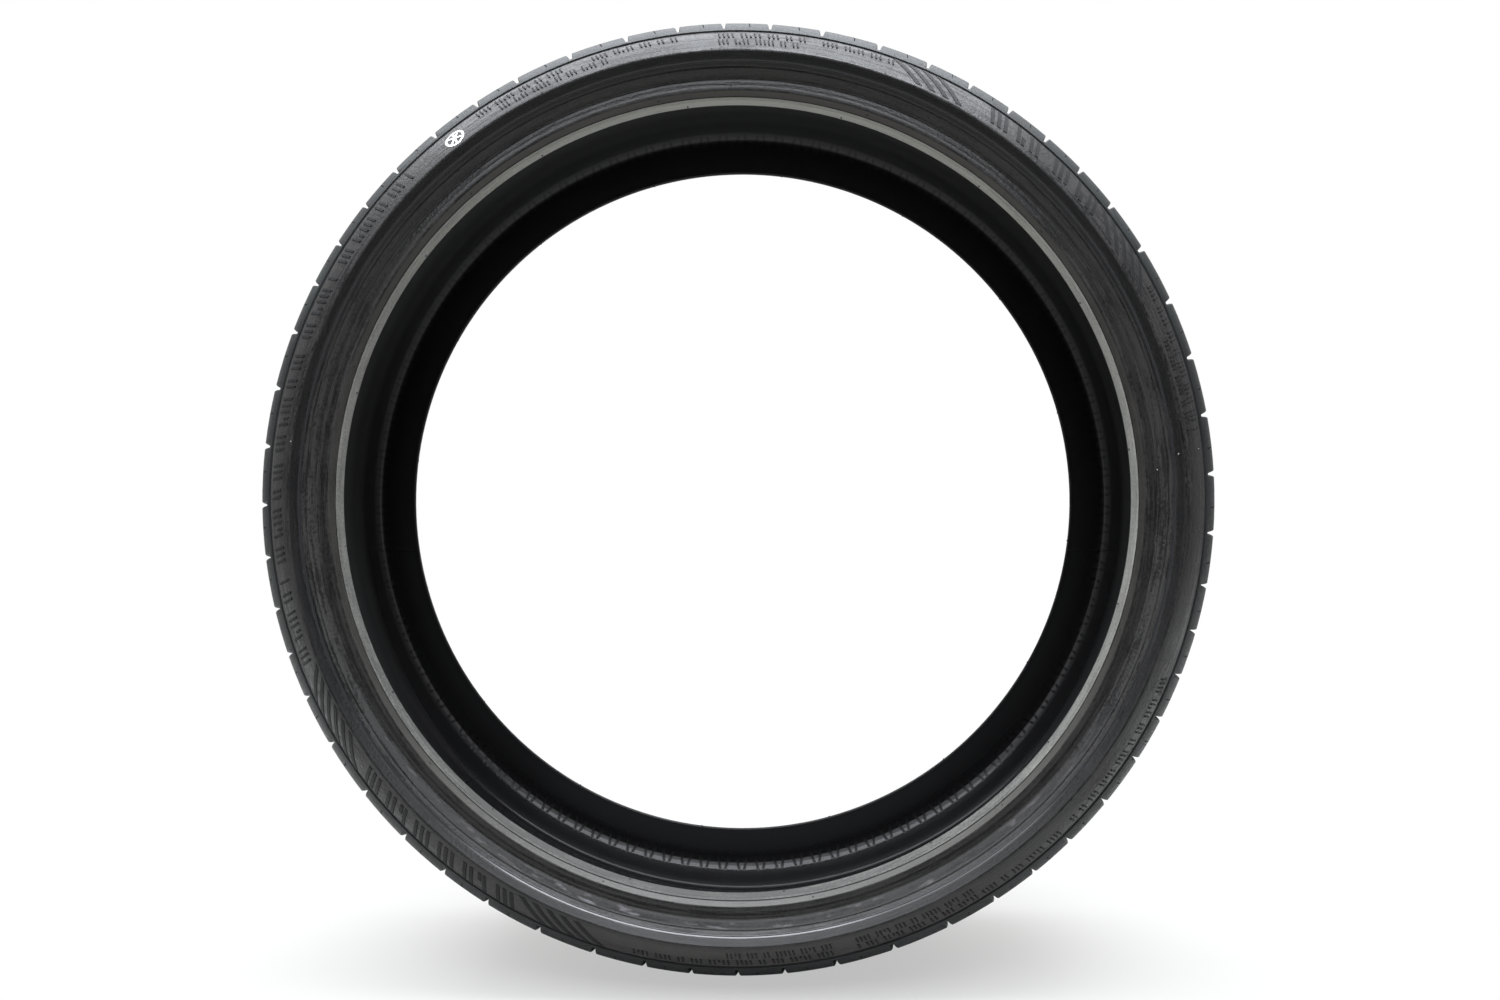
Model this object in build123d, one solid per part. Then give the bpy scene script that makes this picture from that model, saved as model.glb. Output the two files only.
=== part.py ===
from build123d import *
import math
import os

# An unmounted low-profile car tyre, 225 mm wide for a 20 inch rim, in millimetres.
# The axle is the Y axis, the wheel centre is the origin and the outside sidewall faces -Y.

# Overall sizes
bead_seat_diameter = 511.6  # the bore that grips the 512.8 mm rim seat
section_height = 64.2  # from the bead seat out to the crown
section_width = 228.0  # over the rim protector ribs
heel_spacing = 206.0  # between the two outer bead faces
tread_width = 195.0  # between the two shoulder edges

# Crown and shoulders: a flat arc, a rounder arc and a tight one on each side
crown_arc_radius = 600.0
crown_arc_width = 100.0
haunch_slope = 20.0  # degrees to the axle where the rounder arc ends
shoulder_slope = 55.0  # degrees to the axle at the shoulder edge
shoulder_radius = 22.0
shoulder_step = 0.9  # how far the sidewall plate lies below the shoulder edge

# Sidewall and rim protector
protector_height = 28.2  # the protector's ridge above the bead seat
plate_bulge = 1.3
ridge_land = 1.2  # the flat on the protector's ridge
protector_fall = 5.0
protector_run = 3.8
flange_hollow = 2.4  # depth of the hollow that takes the rim flange

# Bead
heel_radius = 6.0
sole_width = 17.0
toe_land = 1.2  # the blunt end of the toe

# Walls around the air chamber
crown_thickness = 16.0
side_thickness = 13.5  # from the ridge's width to the chamber
chamber_roof_drop = 3.5  # how much lower the roof is where its corners begin
chamber_corner_radius = 18.5

# Straight tread grooves
groove_depth = 7.6
inner_groove_offset = 17.5
inner_groove_width = 10.0
outer_groove_offset = 51.0
outer_groove_width = 9.0
groove_wall_slope = 6.0  # degrees

# Crosswise grooves, in a sequence of short, medium and long pitches
pitch_shares = {"S": 5.62, "M": 6.37, "L": 7.16}
pitch_sequence = "LLLLMSSSSSMLMSSMLLSMMSSSMLLLMMSSMLLMMLLMSSSMLLMSSMMSSSSML"
sequence_start = 3.0  # degrees anticlockwise from +X, seen from the outside, at a groove's middle
inside_shift = 3.1  # degrees between the two sides' grooves
cross_groove_width = 4.2  # at its inner end's mouth, on a medium pitch
cross_groove_floor = 1.6
cross_groove_depth = 5.6  # at its inner end, where it leaves the outer straight groove
cross_groove_run_out = 1.2  # its floor's height over the shoulder edge
cross_groove_slant = 1.5  # degrees to the axle
rib_slot_width = 3.0
rib_slot_floor = 1.6
rib_slot_length = 13.0  # into the rib from the outer straight groove
rib_slot_depth = 5.0
rib_slot_slant = 14.0  # degrees to the axle
cutter_overrun = 3.0  # how far each cutter runs out of the rubber

seat_radius = bead_seat_diameter / 2
crown_radius = seat_radius + section_height
heel_half = heel_spacing / 2
tread_half = tread_width / 2
ridge_half = section_width / 2


def sine(degrees):
    return math.sin(math.radians(degrees))


def cosine(degrees):
    return math.cos(math.radians(degrees))


# Where the crown's three arcs meet, as (distance from the middle plane, radius)
crown_slope = math.degrees(math.asin(crown_arc_width / 2 / crown_arc_radius))
crown_edge = Vector(crown_arc_width / 2, crown_radius - crown_arc_radius * (1 - cosine(crown_slope)))
haunch_half = tread_half - shoulder_radius * (sine(shoulder_slope) - sine(haunch_slope))
haunch_radius = (haunch_half - crown_edge.X) / (sine(haunch_slope) - sine(crown_slope))
haunch_edge = Vector(haunch_half, crown_edge.Y - haunch_radius * (cosine(crown_slope) - cosine(haunch_slope)))
shoulder_edge = Vector(
    tread_half, haunch_edge.Y - shoulder_radius * (cosine(haunch_slope) - cosine(shoulder_slope))
)


def arc_between(start, start_slope, end, end_slope, radius):
    """A falling arc from one slope to another, both in degrees to the axle."""
    middle_slope = (start_slope + end_slope) / 2
    middle = Vector(
        start.X + radius * (sine(middle_slope) - sine(start_slope)),
        start.Y - radius * (cosine(start_slope) - cosine(middle_slope)),
    )
    return ThreePointArc(start, middle, end)


def crown_surface(offset):
    """The tread's radius at a distance from the middle plane, up to the shoulder's tight arc."""
    if offset <= crown_edge.X:
        return crown_radius - crown_arc_radius + math.sqrt(crown_arc_radius**2 - offset**2)
    run = haunch_radius * sine(crown_slope) + offset - crown_edge.X
    return crown_edge.Y - haunch_radius * cosine(crown_slope) + math.sqrt(haunch_radius**2 - run**2)


def carcass_section():
    """The tyre's section, with X along the axle and Y as the radius."""
    plate_top = shoulder_edge - Vector(sine(shoulder_slope), cosine(shoulder_slope)) * shoulder_step
    ridge = Vector(ridge_half, seat_radius + protector_height)
    ridge_end = ridge - Vector(0, ridge_land)
    foot = ridge_end - Vector(protector_fall, protector_run)
    heel_corner = Vector(heel_half, seat_radius)
    heel_top = heel_corner + Vector(0, heel_radius)
    heel_middle = heel_corner + Vector(cosine(45) - 1, 1 - sine(45)) * heel_radius
    sole_start = heel_corner - Vector(heel_radius, 0)
    toe = heel_corner - Vector(sole_width, 0)
    toe_end = toe + Vector(0, toe_land)

    # The chamber's corner arc ends level under the roof and runs into a straight line to the toe
    roof_middle = Vector(0, crown_radius - crown_thickness)
    roof_edge = roof_middle.Y - chamber_roof_drop
    corner_radius = min(chamber_corner_radius, (roof_edge - toe_end.Y) / 2)
    corner_centre = Vector(ridge_half - side_thickness - corner_radius, roof_edge - corner_radius)
    to_toe = toe_end - corner_centre
    side_turn = math.degrees(math.acos(corner_radius / to_toe.length))
    side_start = corner_centre + to_toe.normalized().rotate(Axis.Z, side_turn) * corner_radius
    side_middle = corner_centre + Vector(corner_radius, 0)
    roof_end = corner_centre + Vector(0, corner_radius)

    half = [
        arc_between(crown_edge, crown_slope, haunch_edge, haunch_slope, haunch_radius),
        arc_between(haunch_edge, haunch_slope, shoulder_edge, shoulder_slope, shoulder_radius),
        Line(shoulder_edge, plate_top),
        SagittaArc(plate_top, ridge, plate_bulge),
        Line(ridge, ridge_end),
        Line(ridge_end, foot),
        SagittaArc(foot, heel_top, -flange_hollow),
        ThreePointArc(heel_top, heel_middle, sole_start),
        Line(sole_start, toe),
        Line(toe, toe_end),
        Line(toe_end, side_start),
        ThreePointArc(side_start, side_middle, roof_end),
    ]
    other_half = [mirror(edge, about=Plane.YZ) for edge in half]
    crown = ThreePointArc((-crown_edge.X, crown_edge.Y), (0, crown_radius), crown_edge)
    roof = ThreePointArc((-roof_end.X, roof_end.Y), roof_middle, roof_end)
    return make_face([*half, *other_half, crown, roof])


def straight_groove(offset, width):
    """A groove's section: a floor and two walls that lean apart, open above the crown."""
    top = crown_radius + cutter_overrun
    floor = crown_surface(abs(offset)) - groove_depth
    mouth = crown_surface(abs(offset))
    lean = math.tan(math.radians(groove_wall_slope))
    floor_half = width / 2 - groove_depth * lean
    top_half = width / 2 + (top - mouth) * lean
    return Polygon(
        (offset - floor_half, floor),
        (offset + floor_half, floor),
        (offset + top_half, top),
        (offset - top_half, top),
        align=None,
    )


def cross_cutter(inner, inner_floor, outer, outer_floor, floor_width, mouth_width, depth, slant):
    """A crosswise cutter on the outside, at the top of the tyre, between two distances from the middle plane."""
    drift = Vector((outer - inner) * math.tan(math.radians(slant)) / 2, 0, 0)
    start = Vector(0, -inner, inner_floor) - drift
    way = Vector(0, -outer, outer_floor) + drift - start
    height = crown_radius - min(inner_floor, outer_floor) + cutter_overrun
    top_width = floor_width + (mouth_width - floor_width) * height / depth
    outline = Polygon(
        (-floor_width / 2, 0),
        (floor_width / 2, 0),
        (top_width / 2, height),
        (-top_width / 2, height),
        align=None,
    )
    across = Vector(0, 0, 1).cross(way)
    return extrude(Plane(start, x_dir=across, z_dir=way) * outline, way.length)


def shoulder_cutter(pitch_scale):
    """A shoulder groove, from the outer straight groove to just above the shoulder edge, where it runs out."""
    block_edge = outer_groove_offset + outer_groove_width / 2
    edge_floor = crown_surface(block_edge) - cross_groove_depth
    last_floor = shoulder_edge.Y + cross_groove_run_out
    fall = (edge_floor - last_floor) / (tread_half - block_edge)
    return cross_cutter(
        outer_groove_offset,
        edge_floor + fall * (block_edge - outer_groove_offset),
        tread_half + cutter_overrun,
        last_floor - fall * cutter_overrun,
        cross_groove_floor * pitch_scale,
        cross_groove_width * pitch_scale,
        cross_groove_depth,
        cross_groove_slant,
    )


def rib_cutter(pitch_scale):
    """A short slot from the outer straight groove into the rib beside it."""
    inner = outer_groove_offset - outer_groove_width / 2 - rib_slot_length
    floor = crown_surface(outer_groove_offset) - rib_slot_depth
    return cross_cutter(
        inner,
        floor,
        outer_groove_offset,
        floor,
        rib_slot_floor * pitch_scale,
        rib_slot_width * pitch_scale,
        rib_slot_depth,
        rib_slot_slant,
    )


def cross_cutters():
    """All crosswise grooves: the outside's sequence, and the inside's turned half round and shifted."""
    total = sum(pitch_shares[letter] for letter in pitch_sequence)
    cutters = {
        letter: [make(share / pitch_shares["M"]) for make in (shoulder_cutter, rib_cutter)]
        for letter, share in pitch_shares.items()
    }
    placed = []
    angle = sequence_start
    for letter in pitch_sequence:
        outside = Rot(0, 90 - angle, 0)
        inside = Rot(0, 90 - angle - inside_shift, 0) * Rot(0, 0, 180)
        placed += [place * cutter for place in (outside, inside) for cutter in cutters[letter]]
        angle += 360 * pitch_shares[letter] / total
    return placed


section = carcass_section()
for groove_offset, groove_width in (
    (inner_groove_offset, inner_groove_width),
    (outer_groove_offset, outer_groove_width),
):
    section -= straight_groove(groove_offset, groove_width)
    section -= straight_groove(-groove_offset, groove_width)

# The turned surface starts and ends between two grooves
first_pitch = 360 * pitch_shares[pitch_sequence[0]] / sum(pitch_shares[letter] for letter in pitch_sequence)
seam_angle = sequence_start + (inside_shift + first_pitch) / 2
carcass = Rot(0, 90 - seam_angle, 0) * revolve(Plane.YZ * section, axis=Axis.Y)
tyre = carcass - cross_cutters()

os.makedirs("parts", exist_ok=True)
export_step(tyre, "parts/tyre.step")
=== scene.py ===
import cmath
import math

import bmesh
import bpy
from mathutils import Matrix, Vector


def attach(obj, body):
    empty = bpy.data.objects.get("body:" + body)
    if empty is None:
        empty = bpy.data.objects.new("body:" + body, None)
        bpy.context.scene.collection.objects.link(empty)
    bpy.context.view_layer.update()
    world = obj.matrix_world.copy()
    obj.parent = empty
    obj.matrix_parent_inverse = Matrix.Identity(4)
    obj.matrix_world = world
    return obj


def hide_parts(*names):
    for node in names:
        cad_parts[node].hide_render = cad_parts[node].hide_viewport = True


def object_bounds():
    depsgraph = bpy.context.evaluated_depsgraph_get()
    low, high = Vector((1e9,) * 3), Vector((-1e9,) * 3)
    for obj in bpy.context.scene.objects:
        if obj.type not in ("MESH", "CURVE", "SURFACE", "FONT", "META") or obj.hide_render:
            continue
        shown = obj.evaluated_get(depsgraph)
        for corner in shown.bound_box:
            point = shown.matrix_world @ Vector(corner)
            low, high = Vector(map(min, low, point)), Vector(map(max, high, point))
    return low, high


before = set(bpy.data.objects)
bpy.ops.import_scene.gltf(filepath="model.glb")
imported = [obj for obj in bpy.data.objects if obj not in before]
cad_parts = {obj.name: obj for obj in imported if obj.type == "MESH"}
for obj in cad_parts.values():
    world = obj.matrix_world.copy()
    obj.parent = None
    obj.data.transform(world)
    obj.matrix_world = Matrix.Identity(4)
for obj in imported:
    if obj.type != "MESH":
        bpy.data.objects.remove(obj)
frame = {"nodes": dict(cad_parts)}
cadLow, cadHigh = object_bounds()
print("frame loaded:", ", ".join(frame["nodes"]))

mm = 0.001


# Gives an input a link or a value
def feed(tree, socket, value):
    if isinstance(value, bpy.types.NodeSocket):
        tree.links.new(value, socket)
    else:
        socket.default_value = value


# Adds one node with its settings and its inputs, in order or by name, and returns one of its outputs
def addNode(tree, kind, inputs=(), output=0, **settings):
    node = tree.nodes.new(kind)
    for setting, value in settings.items():
        setattr(node, setting, value)
    for socket, value in inputs.items() if isinstance(inputs, dict) else enumerate(inputs):
        feed(tree, node.inputs[socket], value)
    return node.outputs[output] if node.outputs else None


# sRGB hex to linear
def hexColour(code):
    parts = [int(code[at : at + 2], 16) / 255 for at in (1, 3, 5)]
    linear = [part / 12.92 if part <= 0.04045 else ((part + 0.055) / 1.055) ** 2.4 for part in parts]
    return (*linear, 1.0)


# A new finish, with the sockets that say where on the tyre a point is
def startFinish(name):
    finish = bpy.data.materials.new(name)
    finish.use_nodes = True
    tree = finish.node_tree
    place = addNode(tree, "ShaderNodeTexCoord", output="Object")
    axes = addNode(tree, "ShaderNodeSeparateXYZ", [place]).node.outputs
    flat = addNode(tree, "ShaderNodeVectorMath", [place, (1000, 0, 1000)], operation="MULTIPLY")
    at = {
        "place": place,
        "across": axes["X"],
        "height": axes["Z"],
        "radius": addNode(tree, "ShaderNodeVectorMath", [flat], "Value", operation="LENGTH"),
        "angle": addNode(tree, "ShaderNodeMath", [axes["Z"], axes["X"]], operation="ARCTAN2"),
    }
    return finish, tree, at


# Gives a finish its colour and roughness, and a relief from a height, its strength and its depth in mm
def endFinish(tree, look, colour, roughness, relief=None):
    inputs = tree.nodes["Principled BSDF"].inputs
    feed(tree, inputs["Base Color"], colour)
    feed(tree, inputs["Roughness"], roughness)
    inputs["IOR"].default_value = look["refraction"]
    if relief:
        height, strength, depth = relief
        raised = {"Height": height, "Strength": strength, "Distance": depth * mm}
        feed(tree, inputs["Normal"], addNode(tree, "ShaderNodeBump", raised))


# Noise drawn out round the axle, with the length and width of its streaks in millimetres
def streaks(tree, at, length, width):
    drawn = {0: at["place"], "Scale": 1000 / length}
    stretch = addNode(tree, "ShaderNodeVectorMath", drawn, operation="SCALE")
    axes = addNode(tree, "ShaderNodeSeparateXYZ", [stretch]).node.outputs
    narrow = addNode(tree, "ShaderNodeMath", [at["radius"], width], operation="DIVIDE")
    spot = addNode(tree, "ShaderNodeCombineXYZ", [axes["X"], narrow, axes["Z"]])
    return addNode(tree, "ShaderNodeTexNoise", {"Vector": spot, "Scale": 1.0, "Detail": 3.0})


# The share of a ring of radii: none up to the first, all from the second to the third, none after the fourth
def ringBand(tree, at, ring):
    inner = addNode(tree, "ShaderNodeMapRange", [at["radius"], ring[0], ring[1]])
    outer = addNode(tree, "ShaderNodeMapRange", [at["radius"], ring[3], ring[2]])
    return addNode(tree, "ShaderNodeMath", [inner, outer], operation="MULTIPLY")


# Moulded sidewall rubber: carbon black with a satin skin, faint turning rings and chalky handling scuffs;
# some bands carry painted light and painted shade
sidewallLook = {
    "dark": "#060607",
    "light": "#2e2c2c",
    "streak": (110.0, 2.0),  # mm long and wide
    "fineStreak": (20.0, 1.2),  # mm
    "grain": 1.8,  # mm, coarser than the real 0.3 mm skin so that it shows
    "grainShare": 0.9,
    "patch": 33.0,  # mm
    "patchRange": (0.2, 0.8),
    "toneRange": (1.77, 2.19),  # of the noises' sum, from dark to light
    "smooth": 0.34,
    "rough": 0.68,
    "scuff": "#8a868c",
    "scuffRing": (269.5, 271.0, 273.5, 274.6),  # mm from the axle
    "scuffHeight": (-0.13, -0.25),  # m, none above the first and all below the second
    "scuffStreak": (13.0, 3.2),  # mm
    "chalkRange": (0.56, 0.86),  # of the scuffs' noise, from none to all
    "dull": 0.74,  # where the scuffs are
    # painted light, as if bounced up from the floor, low on the plate
    "paintedLight": "#413f3e",
    "paintedLightRing": (283.0, 287.0, 305.0, 307.0),  # mm, across the plate
    "paintedLightHeight": (-0.16, -0.3),  # m
    "cling": (0.0, 0.8, 0.3, 1.0),  # a range of tones, and how much of the haze and of the painted light they take
    "haze": "#343332",
    "hazeRing": (261.8, 263.2, 276.2, 276.9),  # mm, the rim flange's hollow, faintly dusty
    "flangeRing": (262.6, 263.6, 267.4, 268.4),  # mm, the smooth band under the rim flange
    "flange": 0.28,
    # painted highlight: a lighter colour along the rim protector's foot line
    "foot": "#303032",
    "glossRing": (277.3, 277.5, 278.8, 279.0),  # mm, the rim protector's foot, polished by the mould and painted lighter as a highlight
    "gloss": 0.15,
    # painted shade: the rim protector's slope is coloured nearly black
    "paintedSlopeShade": "#040405",
    "paintedSlopeShadeRing": (279.2, 279.8, 282.8, 283.6),  # mm, the rim protector's slope, painted darker as shade
    "paintedSlopeShadeShare": 0.65,
    "slopeDull": 0.54,
    "flank": "#4b4945",
    "flankRing": (257.7, 258.2, 260.4, 261.0),  # mm, the heel's flank, chalky from the buffing below it
    "flankSide": (0.17, 0.25, 0.4),  # m to the left and right, where the chalk tint is painted fainter as shade
    "flankGloss": 0.4,
    "ringRelief": 0.7,  # the rings' share against the grain's
    "reliefStrength": 0.8,
    "reliefDepth": 0.3,  # mm
    "refraction": 1.47,
}


def sidewallRubber(look):
    finish, tree, at = startFinish("moulded_sidewall_rubber")
    turned = [streaks(tree, at, *look[key]) for key in ("streak", "fineStreak")]
    rings = addNode(tree, "ShaderNodeMath", turned, operation="ADD")
    coarse = {"Vector": at["place"], "Scale": 1000 / look["patch"], "Detail": 4.0}
    fine = {"Vector": at["place"], "Scale": 1000 / look["grain"], "Detail": 2.0}
    patch, grain = (addNode(tree, "ShaderNodeTexNoise", size) for size in (coarse, fine))
    soft = addNode(tree, "ShaderNodeMapRange", [patch, 0.0, 1.0, *look["patchRange"]])
    cloud = addNode(tree, "ShaderNodeMath", [rings, soft], operation="ADD")
    stipple = addNode(tree, "ShaderNodeMath", [grain, look["grainShare"], cloud], operation="MULTIPLY_ADD")
    tone = addNode(tree, "ShaderNodeMapRange", [stipple, *look["toneRange"]])
    names = ("scuff", "gloss", "flank", "paintedLight", "flange", "haze", "paintedSlopeShade")
    band = {name: ringBand(tree, at, look[name + "Ring"]) for name in names}
    cling = addNode(tree, "ShaderNodeMapRange", [tone, *look["cling"]])
    # painted light low on the plate, laid on in the skin's mottle
    ground = addNode(tree, "ShaderNodeMapRange", [at["height"], *look["paintedLightHeight"]])
    paintedLowLight = addNode(tree, "ShaderNodeMath", [band["paintedLight"], ground], operation="MULTIPLY")
    low = addNode(tree, "ShaderNodeMapRange", [at["height"], *look["scuffHeight"]])
    rubbed = addNode(tree, "ShaderNodeMath", [band["scuff"], low], operation="MULTIPLY")
    blot = streaks(tree, at, *look["scuffStreak"])
    chalk = addNode(tree, "ShaderNodeMapRange", [blot, *look["chalkRange"]])
    # painted shade: the flank's chalk tint fades out to the left and right
    aside = addNode(tree, "ShaderNodeMath", [at["across"]], operation="ABSOLUTE")
    start, end, least = look["flankSide"]
    flankSideShade = addNode(tree, "ShaderNodeMapRange", [aside, start, end, 1.0, least])
    # each tint with the two shares whose product lays it on
    tints = (
        ("flank", band["flank"], flankSideShade),
        # painted highlight along the rim protector's foot
        ("foot", band["gloss"], 1.0),
        ("haze", band["haze"], cling),
        # painted shade on the rim protector's slope
        ("paintedSlopeShade", band["paintedSlopeShade"], look["paintedSlopeShadeShare"]),
        # painted light low on the plate
        ("paintedLight", paintedLowLight, cling),
        ("scuff", rubbed, chalk),
    )
    shades = {0: tone, 6: hexColour(look["dark"]), 7: hexColour(look["light"])}
    colour = addNode(tree, "ShaderNodeMix", shades, 2, data_type="RGBA")
    for tint, *shares in tints:
        share = addNode(tree, "ShaderNodeMath", shares, operation="MULTIPLY")
        shades = {0: share, 6: colour, 7: hexColour(look[tint])}
        colour = addNode(tree, "ShaderNodeMix", shades, 2, data_type="RGBA")
    polish = (
        (rubbed, "dull"),
        (band["flange"], "flange"),
        (band["flank"], "flankGloss"),
        (band["paintedSlopeShade"], "slopeDull"),
        (band["gloss"], "gloss"),
    )
    gloss = addNode(tree, "ShaderNodeMapRange", [tone, 0.0, 1.0, look["smooth"], look["rough"]])
    for share, level in polish:
        gloss = addNode(tree, "ShaderNodeMix", {0: share, 2: gloss, 3: look[level]})
    height = addNode(tree, "ShaderNodeMath", [rings, look["ringRelief"], grain], operation="MULTIPLY_ADD")
    strength = addNode(tree, "ShaderNodeMapRange", [band["gloss"], 0.0, 1.0, look["reliefStrength"], 0.0])
    endFinish(tree, look, colour, gloss, (height, strength, look["reliefDepth"]))
    return finish


# Moulded rubber without scuffs: a dry greenish black on the tread, and a plain black on raised marks
treadLook = {
    "name": "moulded_tread_rubber",
    "dark": "#121516",
    "light": "#1f2425",
    "grain": 1.4,  # mm, coarser than the real skin so that it shows
    "patch": 26.0,  # mm
    "smooth": 0.46,
    "rough": 0.62,
    "relief": (0.2, 0.3),  # strength, and depth in mm
    "refraction": 1.52,
}
markLook = {
    "name": "raised_mark_rubber",
    "dark": "#0d0d0e",
    "light": "#1a1a1c",
    "grain": 0.9,  # mm, coarser than the real skin so that it shows
    "patch": 18.0,  # mm
    "smooth": 0.56,
    "rough": 0.74,
    "relief": (0.2, 0.3),  # strength, and depth in mm
    "refraction": 1.38,
}
noiseRange = (0.3, 0.7)  # where most of a noise's values lie


def plainRubber(look):
    finish, tree, at = startFinish(look["name"])
    coarse = {"Vector": at["place"], "Scale": 1000 / look["patch"], "Detail": 4.0}
    fine = {"Vector": at["place"], "Scale": 1000 / look["grain"], "Detail": 2.0}
    patch, grain = (addNode(tree, "ShaderNodeTexNoise", size) for size in (coarse, fine))
    tone = addNode(tree, "ShaderNodeMapRange", [patch, *noiseRange])
    shades = {0: tone, 6: hexColour(look["dark"]), 7: hexColour(look["light"])}
    colour = addNode(tree, "ShaderNodeMix", shades, 2, data_type="RGBA")
    sheen = addNode(tree, "ShaderNodeMapRange", [grain, *noiseRange, look["smooth"], look["rough"]])
    endFinish(tree, look, colour, sheen, (grain, *look["relief"]))
    return finish


# Bead chafer rubber: buffed grey and chalky from the mould powder, quite matte, with painted shade that
# darkens it low down and to the left
soleLook = {
    "dark": "#4e4e4c",
    "light": "#a4a49e",
    "streak": (30.0, 1.2),  # mm long and wide
    "speck": 1.6,  # mm
    "cloudRange": (0.4, 1.6),
    "paintedShade": (-0.3, 0.3),  # m up and over to the right, from the darkest to the lightest painted shading
    "paintedShadeSideways": 0.3,
    "paintedShadeShare": 0.48,
    "toneRange": (0.6, 1.4),
    "smooth": 0.62,
    "rough": 0.8,
    "relief": (0.2, 0.2),  # strength, and depth in mm
    "refraction": 1.52,
}


def soleRubber(look):
    finish, tree, at = startFinish("buffed_bead_rubber")
    fine = {"Vector": at["place"], "Scale": 1000 / look["speck"], "Detail": 3.0}
    noises = [streaks(tree, at, *look["streak"]), addNode(tree, "ShaderNodeTexNoise", fine)]
    mixed = addNode(tree, "ShaderNodeMath", noises, operation="ADD")
    cloud = addNode(tree, "ShaderNodeMapRange", [mixed, 0.0, 2.0, *look["cloudRange"]])
    # painted shade: lighter up and to the right, darker down and to the left
    upward = [at["across"], look["paintedShadeSideways"], at["height"]]
    corner = addNode(tree, "ShaderNodeMath", upward, operation="MULTIPLY_ADD")
    most = look["paintedShadeShare"]
    paintedShade = addNode(tree, "ShaderNodeMapRange", [corner, *look["paintedShade"], -most, most])
    shade = addNode(tree, "ShaderNodeMath", [cloud, paintedShade], operation="ADD")
    tone = addNode(tree, "ShaderNodeMapRange", [shade, *look["toneRange"]])
    shades = {0: tone, 6: hexColour(look["dark"]), 7: hexColour(look["light"])}
    colour = addNode(tree, "ShaderNodeMix", shades, 2, data_type="RGBA")
    sheen = addNode(tree, "ShaderNodeMapRange", [tone, 0.0, 1.0, look["smooth"], look["rough"]])
    endFinish(tree, look, colour, sheen, (cloud, *look["relief"]))
    return finish


# Butyl inner liner: deep black and half glossy, with the crossing vent lines that the curing bladder leaves,
# painted light under the crown and a painted highlight along the knee
linerLook = {
    "dark": "#171718",
    "light": "#202021",
    "patch": 16.0,  # mm
    "chafer": "#272728",  # the strip that wraps round the toe
    "chaferRing": (262.0, 276.0),  # mm from the axle, from all to none
    "roof": "#303031",  # painted light under the crown, stronger higher up
    "roofRing": (294.0, 300.0),  # mm from the axle, from none to all
    "roofHeight": (-0.24, -0.04),  # m, from none to all
    "roofRough": 0.92,
    "knee": "#323233",  # painted highlight along its widest line
    "kneeLow": "#565658",  # low down, where the painted highlight is brighter
    "kneeHeight": (-0.08, -0.18),  # m, from none to all
    "kneeSide": (-0.28, -0.08, 0.35),  # m, from least at the left to all
    "kneeRing": (283.0, 284.9, 285.3, 287.2),  # mm from the axle
    "lines": 122,  # in each of the two crossing sets
    "climb": 60.0,  # mm along the section for one line's spacing
    "linePhase": -0.35,  # so that the two sets cross beside the knee, not on it
    "lineWave": (0.82, 0.96),  # of each set's wave, from a line's edge to its middle
    "lineRing": (277.5, 279.5, 287.4, 289.0),  # mm from the axle, where the lines show
    "lineTint": "#0f0f11",
    "lineRough": 0.62,  # only low down, where they break the light
    "lineHeight": (-0.17, -0.24),  # m, from none to all
    "rough": 0.32,
    "smooth": 0.18,  # at the bottom, where it is rubbed
    "rubbed": (0.05, -0.22),  # m, from none to all
    "shine": 0.44,
    "refraction": 1.5,
}


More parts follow.
